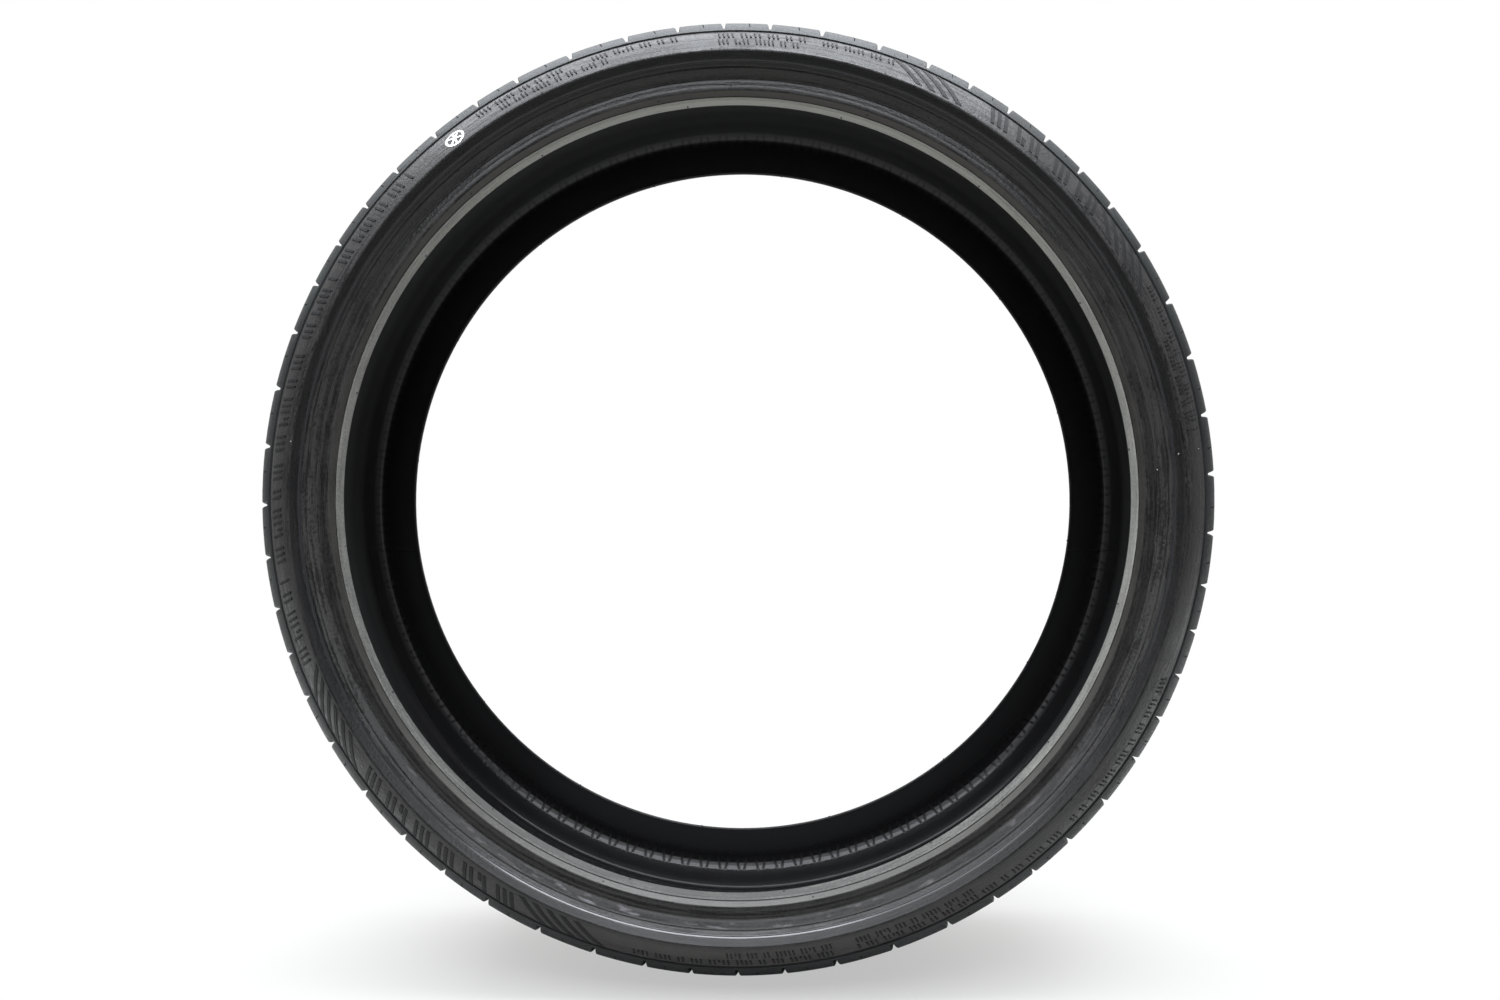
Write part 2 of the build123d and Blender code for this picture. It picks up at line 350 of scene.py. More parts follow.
def linerRubber(look):
    finish, tree, at = startFinish("butyl_inner_liner")
    girth = addNode(tree, "ShaderNodeAttribute", output="Fac", attribute_name="girth")
    turn = addNode(tree, "ShaderNodeMath", [at["angle"], look["lines"]], operation="MULTIPLY")
    climb = [girth, 2000 * math.pi / look["climb"], look["linePhase"]]
    rise = addNode(tree, "ShaderNodeMath", climb, operation="MULTIPLY_ADD")
    waves = []
    for way in ("ADD", "SUBTRACT"):
        slant = addNode(tree, "ShaderNodeMath", [turn, rise], operation=way)
        waves.append(addNode(tree, "ShaderNodeMath", [slant], operation="COSINE"))
    crest = addNode(tree, "ShaderNodeMath", waves, operation="MAXIMUM")
    fine = addNode(tree, "ShaderNodeMapRange", [crest, *look["lineWave"]], interpolation_type="SMOOTHSTEP")
    lineBand = ringBand(tree, at, look["lineRing"])
    line = addNode(tree, "ShaderNodeMath", [fine, lineBand], operation="MULTIPLY")
    toe = addNode(tree, "ShaderNodeMapRange", [at["radius"], *look["chaferRing"], 1.0, 0.0])
    # painted light on the roof, none low down
    under = addNode(tree, "ShaderNodeMapRange", [at["radius"], *look["roofRing"]])
    upper = addNode(tree, "ShaderNodeMapRange", [at["height"], *look["roofHeight"]])
    roof = addNode(tree, "ShaderNodeMath", [under, upper], operation="MULTIPLY")
    # painted highlight along the knee: fainter at the left, brighter low down
    start, end, least = look["kneeSide"]
    side = addNode(tree, "ShaderNodeMapRange", [at["across"], start, end, least, 1.0])
    kneeBand = ringBand(tree, at, look["kneeRing"])
    paintedLight = addNode(tree, "ShaderNodeMath", [kneeBand, side], operation="MULTIPLY")
    paintedLowLight = addNode(tree, "ShaderNodeMapRange", [at["height"], *look["kneeHeight"]])
    shades = {0: paintedLowLight, 6: hexColour(look["knee"]), 7: hexColour(look["kneeLow"])}
    knee = addNode(tree, "ShaderNodeMix", shades, 2, data_type="RGBA")
    coarse = {"Vector": at["place"], "Scale": 1000 / look["patch"], "Detail": 3.0}
    patch = addNode(tree, "ShaderNodeTexNoise", coarse)
    shades = {0: patch, 6: hexColour(look["dark"]), 7: hexColour(look["light"])}
    colour = addNode(tree, "ShaderNodeMix", shades, 2, data_type="RGBA")
    tints = (
        (toe, hexColour(look["chafer"])),
        # painted light on the roof
        (roof, hexColour(look["roof"])),
        # painted highlight along the knee
        (paintedLight, knee),
        (line, hexColour(look["lineTint"])),
    )
    for share, tint in tints:
        colour = addNode(tree, "ShaderNodeMix", {0: share, 6: colour, 7: tint}, 2, data_type="RGBA")
    low = addNode(tree, "ShaderNodeMapRange", [at["height"], *look["lineHeight"]])
    cut = addNode(tree, "ShaderNodeMath", [line, low], operation="MULTIPLY")
    rubbed = [at["height"], *look["rubbed"], look["rough"], look["smooth"]]
    gloss = addNode(tree, "ShaderNodeMapRange", rubbed)
    for share, level in ((roof, "roofRough"), (cut, "lineRough")):
        gloss = addNode(tree, "ShaderNodeMix", {0: share, 2: gloss, 3: look[level]})
    endFinish(tree, look, colour, gloss)
    tree.nodes["Principled BSDF"].inputs["Specular IOR Level"].default_value = look["shine"]
    return finish


# White marking paint: thin, chalky and broken where the rubber's grain shows through
paintLook = {
    "white": "#f1f0f2",
    "worn": "#8d8a90",
    "grain": 1.6,  # mm
    "wornRange": (0.5, 0.75),  # of the grain, from none to all
    "rough": 0.6,
    "relief": (0.2, 0.2),  # strength, and depth in mm
    "refraction": 1.5,
}


def markingPaint(look):
    finish, tree, at = startFinish("white_marking_paint")
    fine = {"Vector": at["place"], "Scale": 1000 / look["grain"], "Detail": 2.0}
    grain = addNode(tree, "ShaderNodeTexNoise", fine)
    worn = addNode(tree, "ShaderNodeMapRange", [grain, *look["wornRange"]])
    shades = {0: worn, 6: hexColour(look["white"]), 7: hexColour(look["worn"])}
    colour = addNode(tree, "ShaderNodeMix", shades, 2, data_type="RGBA")
    endFinish(tree, look, colour, look["rough"], (grain, *look["relief"]))
    return finish


zones = ("liner", "sole", "sidewall", "tread", "mark", "paint")
finishes = {
    "liner": linerRubber(linerLook),
    "sole": soleRubber(soleLook),
    "sidewall": sidewallRubber(sidewallLook),
    "tread": plainRubber(treadLook),
    "mark": plainRubber(markLook),
    "paint": markingPaint(paintLook),
}
print("finishes made:", ", ".join(finish.name for finish in finishes.values()))

startFields = {"startAngle": "FLOAT", "pitchAngle": "FLOAT", "kind": "INT"}  # what each start point carries
moduleFields = {"lead": "FLOAT", "sideShare": "FLOAT", "zone": "INT"}  # what each module carries


# The tree that every ring of the tyre comes from.
# A module lies flat, with X as its share of a pitch, Y along the axle and Z as the radius.
# Each start point bends one copy of the module that it names round the axle.
def roundTree():
    tree = bpy.data.node_groups.new("round_the_axle", "GeometryNodeTree")
    sockets = [
        ("Geometry", "NodeSocketGeometry"),
        ("Modules", "NodeSocketCollection"),
        ("Inside Shift", "NodeSocketFloat"),
        ("Weld", "NodeSocketFloat"),
    ]
    for label, kind in sockets + [(zone, "NodeSocketMaterial") for zone in zones]:
        tree.interface.new_socket(label, in_out="INPUT", socket_type=kind)
    tree.interface.new_socket("Geometry", in_out="OUTPUT", socket_type="NodeSocketGeometry")
    given = addNode(tree, "NodeGroupInput").node.outputs
    stored = {
        label: addNode(tree, "GeometryNodeInputNamedAttribute", {"Name": label}, data_type=kind)
        for label, kind in {**startFields, **moduleFields}.items()
    }
    children = {"Collection": given["Modules"], "Separate Children": True}
    picks = {
        "Points": given["Geometry"],
        "Instance": addNode(tree, "GeometryNodeCollectionInfo", children),
        "Pick Instance": True,
        "Instance Index": stored["kind"],
    }
    copies = addNode(tree, "GeometryNodeInstanceOnPoints", picks)
    real = addNode(tree, "GeometryNodeRealizeInstances", {"Geometry": copies})
    position = addNode(tree, "GeometryNodeInputPosition")
    place = addNode(tree, "ShaderNodeSeparateXYZ", [position]).node.outputs
    radius = place["Z"]
    pitch = [place["X"], stored["pitchAngle"], stored["startAngle"]]
    turned = addNode(tree, "ShaderNodeMath", pitch, operation="MULTIPLY_ADD")
    run = addNode(tree, "ShaderNodeMath", [stored["lead"], radius], operation="DIVIDE")
    slanted = addNode(tree, "ShaderNodeMath", [run, turned], operation="ADD")
    shift = [stored["sideShare"], given["Inside Shift"], slanted]
    angle = addNode(tree, "ShaderNodeMath", shift, operation="MULTIPLY_ADD")
    across = addNode(tree, "ShaderNodeMath", [angle], operation="COSINE")
    upward = addNode(tree, "ShaderNodeMath", [angle], operation="SINE")
    x, z = (addNode(tree, "ShaderNodeMath", [radius, way], operation="MULTIPLY") for way in (across, upward))
    bent = addNode(tree, "ShaderNodeCombineXYZ", [x, place["Y"], z])
    shaped = addNode(tree, "GeometryNodeSetPosition", {"Geometry": real, "Position": bent})
    last = addNode(tree, "GeometryNodeMergeByDistance", {"Geometry": shaped, "Distance": given["Weld"]})
    for number, label in enumerate(zones):
        same = {2: stored["zone"], 3: number}
        chosen = addNode(tree, "FunctionNodeCompare", same, data_type="INT", operation="EQUAL")
        coat = {"Geometry": last, "Selection": chosen, "Material": given[label]}
        last = addNode(tree, "GeometryNodeSetMaterial", coat)
    addNode(tree, "NodeGroupOutput", {"Geometry": last})
    return tree


roundTheAxle = roundTree()
weldReach = 0.015  # mm, nearer points become one


# A module's mesh from its points (share, y, radius in mm), faces, and what each point and face carries
def makeModule(name, points, faces, faceZones, leads, sideShares=None, girths=None):
    mesh = bpy.data.meshes.new(name)
    mesh.from_pydata([(share, y * mm, radius * mm) for share, y, radius in points], [], faces)
    plain = [0.0] * len(points)
    carried = {"lead": (leads, mm), "sideShare": (sideShares or plain, 1.0), "girth": (girths or plain, mm)}
    for label, (values, unit) in carried.items():
        layer = mesh.attributes.new(label, "FLOAT", "POINT")
        layer.data.foreach_set("value", [value * unit for value in values])
    layer = mesh.attributes.new("zone", "INT", "FACE")
    layer.data.foreach_set("value", faceZones)
    return bpy.data.objects.new(name, mesh)


# Bends modules round the axle at each (start angle, pitch angle, module number), and returns the plain mesh
def bendRound(name, modules, starts, insideShift=0.0, sharpness=27.0):
    drawer = bpy.data.collections.new(name + "_modules")
    bpy.context.scene.collection.children.link(drawer)
    for number, module in enumerate(modules):
        module.name = f"module_{number:02d}"
        drawer.objects.link(module)
    seeds = bpy.data.meshes.new(name + "_starts")
    seeds.from_pydata([(0, 0, 0)] * len(starts), [], [])
    for column, (label, kind) in enumerate(startFields.items()):
        layer = seeds.attributes.new(label, kind, "POINT")
        layer.data.foreach_set("value", [start[column] for start in starts])
    host = bpy.data.objects.new(name + "_starts", seeds)
    bpy.context.scene.collection.objects.link(host)
    modifier = host.modifiers.new("round", "NODES")
    modifier.node_group = roundTheAxle
    given = {"Modules": drawer, "Inside Shift": math.radians(insideShift), "Weld": weldReach * mm, **finishes}
    for item in roundTheAxle.interface.items_tree:
        if item.in_out == "INPUT" and item.name in given:
            modifier[item.identifier] = given[item.name]
    bpy.context.view_layer.update()
    graph = bpy.context.evaluated_depsgraph_get()
    mesh = bpy.data.meshes.new_from_object(host.evaluated_get(graph), depsgraph=graph)
    mesh.name = name
    if mesh.materials[0] is None:
        mesh.materials.pop(index=0)
    host.modifiers.remove(modifier)
    bpy.data.objects.remove(host)
    bpy.data.meshes.remove(seeds)
    for module in modules:
        moduleMesh = module.data
        bpy.data.objects.remove(module)
        bpy.data.meshes.remove(moduleMesh)
    bpy.data.collections.remove(drawer)
    mesh.shade_smooth()
    mesh.set_sharp_from_angle(angle=math.radians(sharpness))
    print("bent round:", name, len(mesh.polygons), "faces")
    return mesh


def rubberPiece(mesh):
    piece = bpy.data.objects.new(mesh.name, mesh)
    bpy.context.scene.collection.objects.link(piece)
    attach(piece, "root")
    return piece


# The tyre's section in millimetres: the solid model's, with a finer bead, flange hollow and chamber corner.
# Real parts lie along the axle, and imaginary parts are radii.
section = {
    "crownRadius": 320.0,
    "crownArc": 600.0,
    "crownHalf": 50.0,
    "haunchSlope": 20.0,  # degrees
    "shoulderSlope": 55.0,  # degrees
    "shoulderRound": 22.0,
    "shoulderStep": 0.9,
    "treadHalf": 97.5,
    "plateBulge": 1.3,
    "plateShares": (0.03, 0.1, 0.2, 0.34, 0.50, 0.66, 0.80, 0.89, 0.928),  # rows from the ridge up
    "stepShares": (0.938, 0.975),  # the step under the shoulder
    "stepDepth": 1.2,
    "ridge": 114.0 + 284.0j,
    "ridgeLand": 1.2,
    "ridgeRound": 0.3,
    "ridgeAim": 0.05,  # the share up the plate that the ridge's rounding runs out to
    "slopeShares": (0.0, 0.35, 0.7),  # rows up the rim protector's slope
    "facet": 109.5 + 278.9j,  # the end of the polished facet at the protector's foot
    "foot": 108.3 + 277.8j,
    "footLine": (0.55, 0.42),  # the fine line along the protector's foot, half its width and its height
    "footTurns": (25, 58, 90, 122, 155),  # degrees over that line
    "rimLand": 106.35 + 275.5j,
    "rimLine": 105.9 + 274.6j,
    "rimLineCut": (-0.5 + 0.3j, -0.1 + 0.75j),  # from the rim line
    "hollow": 102.8 + 270.2j,
    "valleyEnd": 101.9 + 269.6j,
    "valleyRound": 0.8,
    "valleyCut": (-0.35 + 0.15j, -0.35 + 0.45j),  # from the valley
    "valley": 101.9 + 268.2j,
    "valleySteps": 5,  # from the crest to the valley
    "crest": 103.8 + 262.3j,  # where the rim flange's hollow starts
    "flankCorner": 103.8 + 260.8j,
    "flankRound": 0.7,
    "flankMiddle": 101.85 + 259.25j,
    "flankFoot": 100.6 + 258.1j,
    "heelCut": (-0.2 + 0.5j, 0.0 + 0.85j),  # from the heel
    "heel": 100.2 + 257.4j,
    "heelBulge": 0.45,
    "heelShares": (0.0, 0.3, 0.36, 0.46, 0.52, 0.75, 1.0),  # rows from the sole's end to the heel
    "heelLine": (0.36, 0.46),  # the rows that lie deeper, as a fine line
    "heelLineDepth": 0.25,
    "soleEnd": 97.0 + 256.2j,
    "soleShares": (0.0, 0.3, 0.65),  # rows from the toe's lip to the sole's end
    "toeLip": 91.4 + 254.9j,  # the sole's narrowest place
    "toeTuck": 0.12,
    "toe": 90.8 + 256.0j,
    "wallShares": (0.35, 0.7, 1.0),  # rows from the knee to the toe
    "knee": 100.6 + 284.8j,  # the chamber's widest place
    "kneeRound": 6.8,
    "roofEnd": 82.5 + 300.5j,
    "roofRound": 4.0,
    "roofRadius": 304.0,
    "roofShares": (0.0, 0.17, 0.34, 0.51, 0.68, 0.84),  # rows from the middle to the roof's end
    "easeRows": 17,  # rows from the roof's middle, over which one side's shift goes over to the other's
}

crownSlope = math.asin(section["crownHalf"] / section["crownArc"])
haunchSlope = math.radians(section["haunchSlope"])
shoulderSlope = math.radians(section["shoulderSlope"])
crownEdge = section["crownRadius"] - section["crownArc"] * (1 - math.cos(crownSlope))
shoulderRun = section["shoulderRound"] * (math.sin(shoulderSlope) - math.sin(haunchSlope))
haunchHalf = section["treadHalf"] - shoulderRun
haunchArc = (haunchHalf - section["crownHalf"]) / (math.sin(haunchSlope) - math.sin(crownSlope))
haunchEdge = crownEdge - haunchArc * (math.cos(crownSlope) - math.cos(haunchSlope))


# The tread's radius at a distance from the middle plane, up to the shoulder edge
def crownSurface(half):
    if half <= section["crownHalf"]:
        return section["crownRadius"] - section["crownArc"] + math.sqrt(section["crownArc"] ** 2 - half**2)
    if half <= haunchHalf:
        run = haunchArc * math.sin(crownSlope) + half - section["crownHalf"]
        return crownEdge - haunchArc * math.cos(crownSlope) + math.sqrt(haunchArc**2 - run**2)
    run = section["shoulderRound"] * math.sin(haunchSlope) + half - haunchHalf
    across = math.sqrt(section["shoulderRound"] ** 2 - run**2)
    return haunchEdge - section["shoulderRound"] * math.cos(haunchSlope) + across


shoulderEdge = complex(section["treadHalf"], crownSurface(section["treadHalf"]))
plateTop = shoulderEdge - section["shoulderStep"] * complex(math.sin(shoulderSlope), math.cos(shoulderSlope))
plateLength = abs(plateTop - section["ridge"])
ridgeEnd = section["ridge"] - 1j * section["ridgeLand"]


# A point on the bowed line from start to end, raised off it; a bulge above 0 bows to the right, the open side
def bowed(start, end, bulge, share, lift=0.0):
    chord = end - start
    arc = (abs(chord) ** 2 / 4 + bulge**2) / (2 * bulge)
    centre = (start + end) / 2 - 1j * chord / abs(chord) * (bulge - arc)
    sweep = 2 * math.asin(abs(chord) / 2 / arc)
    spoke = (start - centre) * cmath.exp(1j * sweep * share)
    return centre + spoke * (1 + lift / arc)


# The sidewall plate, from the rim protector's ridge (0) up to the shoulder (1)
def plate(share, lift=0.0):
    return bowed(section["ridge"], plateTop, section["plateBulge"], share, lift)


# A corner rounded over a reach on both sides
def rounded(before, corner, after, reach, steps):
    start = corner + (before - corner) / abs(before - corner) * reach
    end = corner + (after - corner) / abs(after - corner) * reach
    shares = [step / steps for step in range(steps + 1)]
    return [start * (1 - t) ** 2 + corner * 2 * t * (1 - t) + end * t**2 for t in shares]


# The chamber and the bead, from the chamber roof's middle round to the heel
def beadRows():
    roofEnd, knee, toe = section["roofEnd"], section["knee"], section["toe"]
    toeLip, soleEnd = section["toeLip"], section["soleEnd"]
    drop = section["roofRadius"] - roofEnd.imag
    roofArc = (roofEnd.real**2 + drop**2) / (2 * drop)
    liner = []
    for share in section["roofShares"]:
        half = roofEnd.real * share
        liner.append(complex(half, section["roofRadius"] - roofArc + math.sqrt(roofArc**2 - half**2)))
    liner += rounded(liner[-1], roofEnd, knee, section["roofRound"], steps=3)
    liner += rounded(roofEnd, knee, toe, section["kneeRound"], steps=9)
    wallStart = liner[-1]
    liner += [wallStart + (toe - wallStart) * share for share in section["wallShares"]]
    liner.append((toe + toeLip) / 2 - section["toeTuck"])
    sole = [toeLip + (soleEnd - toeLip) * share for share in section["soleShares"]]
    for share in section["heelShares"]:
        lift = -section["heelLineDepth"] if share in section["heelLine"] else 0.0
        sole.append(bowed(soleEnd, section["heel"], section["heelBulge"], share, lift))
    return [("liner", point) for point in liner] + [("sole", point) for point in sole]


# A fine half-round line that stands up along a corner
def footLine(before, corner, after):
    half, height = section["footLine"]
    down, up = (before - corner) / abs(before - corner), (after - corner) / abs(after - corner)
    out = 1j * (down - up) / abs(down - up)
    points = [corner + down * half]
    for turn in section["footTurns"]:
        way = math.radians(turn)
        side = down if turn < 90 else up
        points.append(corner + side * half * abs(math.cos(way)) + out * height * math.sin(way))
    return points + [corner + up * half]


# The outer side, from the heel over the rim flange's hollow, the rim line and the ridge to the shoulder
def sideRows():
    flankFoot, crest, valley, hollow = (section[key] for key in ("flankFoot", "crest", "valley", "hollow"))
    rimLine, rimLand, foot, facet = (section[key] for key in ("rimLine", "rimLand", "foot", "facet"))
    points = [section["heel"] + cut for cut in section["heelCut"]]
    points += [flankFoot, section["flankMiddle"]]
    points += rounded(flankFoot, section["flankCorner"], crest, section["flankRound"], steps=3)
    run = valley - crest
    for step in range(section["valleySteps"] + 1):
        share = step / section["valleySteps"]
        ease = (1 - math.cos(math.pi * share)) / 2
        points.append(crest + complex(run.real * ease, run.imag * share))
    points += [valley + cut for cut in section["valleyCut"]]
    points += rounded(valley, section["valleyEnd"], hollow, section["valleyRound"], steps=2)
    points += [hollow, (hollow + rimLine) / 2, rimLine]
    points += [rimLine + cut for cut in section["rimLineCut"]]
    points += [rimLand, (rimLand + foot) / 2]
    points += footLine(rimLand, foot, facet)
    points += [facet + (ridgeEnd - facet) * share for share in section["slopeShares"]]
    points += rounded(foot, ridgeEnd, section["ridge"], section["ridgeRound"], steps=3)
    points += rounded(ridgeEnd, section["ridge"], plate(section["ridgeAim"]), section["ridgeRound"], steps=3)
    points += [plate(share) for share in section["plateShares"]]
    points += [plate(share, -section["stepDepth"]) for share in section["stepShares"]]
    return [("sidewall", point) for point in points]


# Tread grooves in millimetres, close to the solid model's, and the slits that are moulded between them
tread = {
    "pitchShares": {"S": 5.62, "M": 6.37, "L": 7.16},
    "sequence": "LLLLMSSSSSMLMSSMLLSMMSSSMLLLMMSSMLLMMLLMSSSMLLMSSMMSSSSML",
    "sequenceStart": 3.0,  # degrees
    "insideShift": 3.1,  # degrees
    "grooveDepth": 7.6,
    "grooveLean": 6.0,  # degrees
    "innerGroove": (17.5, 10.0),  # distance from the middle plane, and width
    "outerGroove": (51.0, 9.0),
    "wallFoot": 0.8 + 0.9j,  # the slope between a groove's wall and its floor, its width and its height
    "crossWidth": 3.7,
    "crossFloor": 1.5,
    "crossDepth": 5.6,  # at the straight groove
    "crossRunOut": 1.2,  # its floor's height over the shoulder edge
    "crossSlant": 3.0,  # degrees
    "crossZero": 75.75,  # where a crosswise groove crosses its own start angle
    "leastWall": 0.3,  # the least width of a crosswise groove's wall
    "slotWidth": 3.0,
    "slotFloor": 1.6,
    "slotLength": 13.0,
    "slotDepth": 5.0,
    "slotSlant": 14.0,  # degrees
    "slotZero": 42.25,
    "edgeBevel": 0.5,
    "slitWidth": 0.7,
    "slitDepth": 3.5,
    "slitReach": (58.0, 94.3),  # along the shoulder, from the middle plane
    "slitSlant": 7.0,  # degrees
    "ribSlitStart": 27.0,  # from the middle plane
    "middleSlitStart": 5.5,  # from the middle plane
    "middleSlits": (0.3, 0.8),  # shares of a pitch, for the slits from the outside and from the inside
    "middleShares": (0.0, 0.15, 0.55, 0.9, 1.0),  # plain columns of the middle rib, as shares of a pitch
    "blockShare": 0.26,  # a plain column on each side of a block's slit, as a share of a pitch
    # the rows' distances from the middle plane
    "shoulderRows": (97.5, 96.9, 96.4, 95.7, 94.8, 93.5, 91.8, 89.6, 87.0, 83.5, 79.0, 73.0, 66.0, 60.0),
    "slotRows": (43.0, 39.5, 36.5),
    "slotEndRows": (0.7, -0.1),  # from the slot's end
    "ribRows": (30.0, 26.5),
    "middleRows": (-9.0, -6.2, -5.0, 0.0, 5.0, 6.2, 9.0),
}
pitchTotal = sum(tread["pitchShares"][letter] for letter in tread["sequence"])
mediumArc = 2 * math.pi * section["crownRadius"] * tread["pitchShares"]["M"] / pitchTotal  # mm
blockEdge = sum(tread["outerGroove"]) - tread["outerGroove"][1] / 2


def slope(degrees):
    return math.tan(math.radians(degrees))


# How far round a row lies ahead of its pitch's start, in millimetres
def crossLead(half):
    return (tread["crossZero"] - half) * slope(tread["crossSlant"])


def slotLead(half):
    return (tread["slotZero"] - half) * slope(tread["slotSlant"])


# One row's (share, drop) pairs: half a groove at each end of the pitch and a slit in the middle
def blockColumns(depth, floorWidth, mouthWidth, fullDepth, slitDepth, slitRun=0.0):
    bevel = tread["edgeBevel"]
    floorHalf = floorWidth / 2
    mouthHalf = floorHalf + max((mouthWidth - floorWidth) / 2 * depth / fullDepth, tread["leastWall"])
    slitHalf = tread["slitWidth"] / 2
    middle = mediumArc / 2 + slitRun
    left = [
        (0.0, depth),
        (floorHalf, depth),
        (mouthHalf, min(bevel, depth)),
        (mouthHalf + bevel, 0.0),
        (mediumArc * tread["blockShare"], 0.0),
    ]
    right = [(mediumArc - reach, drop) for reach, drop in reversed(left)]
    slit = [(middle - slitHalf, 0.0), (middle, slitDepth), (middle + slitHalf, 0.0)]
    return [(reach / mediumArc, drop) for reach, drop in [*left, *slit, *right]]


def shoulderColumns(half):
    blockFloor = crownSurface(blockEdge) - tread["crossDepth"]
    lastFloor = shoulderEdge.imag + tread["crossRunOut"]
    fall = (blockFloor - lastFloor) / (section["treadHalf"] - blockEdge)
    depth = max(crownSurface(half) - blockFloor + fall * (half - blockEdge), 0.0)
    low, high = tread["slitReach"]
    slit = tread["slitDepth"] if low < half < high else 0.0
    slitRun = (tread["crossZero"] - half) * slope(tread["slitSlant"])
    return blockColumns(depth, tread["crossFloor"], tread["crossWidth"], tread["crossDepth"], slit, slitRun)


def ribColumns(half):
    centre, width = tread["outerGroove"]
    slotEnd = centre - width / 2 - tread["slotLength"]
    floor = crownSurface(centre) - tread["slotDepth"]
    depth = crownSurface(half) - floor if half > slotEnd else 0.0
    slit = tread["slitDepth"] if half > tread["ribSlitStart"] else 0.0
    return blockColumns(depth, tread["slotFloor"], tread["slotWidth"], tread["slotDepth"], slit)


# The middle rib has a slit from each edge
def middleColumns(y):
    slitShare = tread["slitWidth"] / 2 / mediumArc
    columns = [(share, 0.0) for share in tread["middleShares"]]
    for middle, side in zip(tread["middleSlits"], (-1, 1)):
        depth = tread["slitDepth"] if side * y > tread["middleSlitStart"] else 0.0
        columns += [(middle - slitShare, 0.0), (middle, depth), (middle + slitShare, 0.0)]
    return sorted(columns)


plainSteps = 4  # across a pitch, where nothing is cut
plainColumns = [(step / plainSteps, 0.0) for step in range(plainSteps + 1)]


# A straight groove's wall, from the block's edge down to its floor, on the side that the sign gives
def wallPoints(groove, sign):
    centre, width = groove
    lean, foot = slope(tread["grooveLean"]), tread["wallFoot"]
    floor = crownSurface(centre) - tread["grooveDepth"]
    top = centre + sign * width / 2
    edge = complex(top, crownSurface(top) - tread["edgeBevel"])
    low = complex(top - sign * (tread["grooveDepth"] - foot.imag) * lean, floor + foot.imag)
    flat = complex(top - sign * (tread["grooveDepth"] * lean + foot.real), floor)
    return edge, low, flat


def wallColumns(columns):
    cut = [(share, max(drop - tread["edgeBevel"], 0.0)) for share, drop in columns]
    still = [(share, 0.0) for share, drop in columns]
    return cut, still, still


# The half section's tread rows, from the shoulder edge in to the inner groove: (point, columns, lead)
def treadRows():
    bevel = tread["edgeBevel"]
    ribOuter = tread["outerGroove"][0] - tread["outerGroove"][1] / 2
    ribInner = sum(tread["innerGroove"]) - tread["innerGroove"][1] / 2
    slotEnd = ribOuter - tread["slotLength"]
    rows = []
    halves = [*tread["shoulderRows"], blockEdge + bevel]
    rows += [(complex(half, crownSurface(half)), shoulderColumns(half), crossLead(half)) for half in halves]
    shoulderWall = zip(wallPoints(tread["outerGroove"], 1), wallColumns(shoulderColumns(blockEdge)))
    rows += [(point, columns, crossLead(blockEdge)) for point, columns in shoulderWall]
    ribWall = zip(wallPoints(tread["outerGroove"], -1), wallColumns(ribColumns(ribOuter)))
    rows += reversed([(point, columns, slotLead(ribOuter)) for point, columns in ribWall])
    slotEndRows = [slotEnd + reach for reach in tread["slotEndRows"]]
    halves = [ribOuter - bevel, *tread["slotRows"], *slotEndRows, *tread["ribRows"], ribInner + bevel]
    rows += [(complex(half, crownSurface(half)), ribColumns(half), slotLead(half)) for half in halves]
    innerWall = zip(wallPoints(tread["innerGroove"], 1), wallColumns(ribColumns(ribInner)))
    rows += [(point, columns, slotLead(ribInner)) for point, columns in innerWall]
    return rows


# The middle rib between the two inner grooves, from the outside across: (point, columns)
def middleRows():
    edge = tread["innerGroove"][0] - tread["innerGroove"][1] / 2
    top = edge - tread["edgeBevel"]
    rows = [(complex(y, crownSurface(abs(y))), middleColumns(y)) for y in (-top, *tread["middleRows"], top)]
    wall = wallPoints(tread["innerGroove"], -1)
    walls = []
    for sign in (-1, 1):
        sidePoints = [complex(sign * point.real, point.imag) for point in wall]
        walls.append(list(zip(sidePoints, wallColumns(middleColumns(sign * edge)))))
    return [*reversed(walls[0]), *rows, *walls[1]]


def outside(point):
    return complex(-point.real, point.imag)


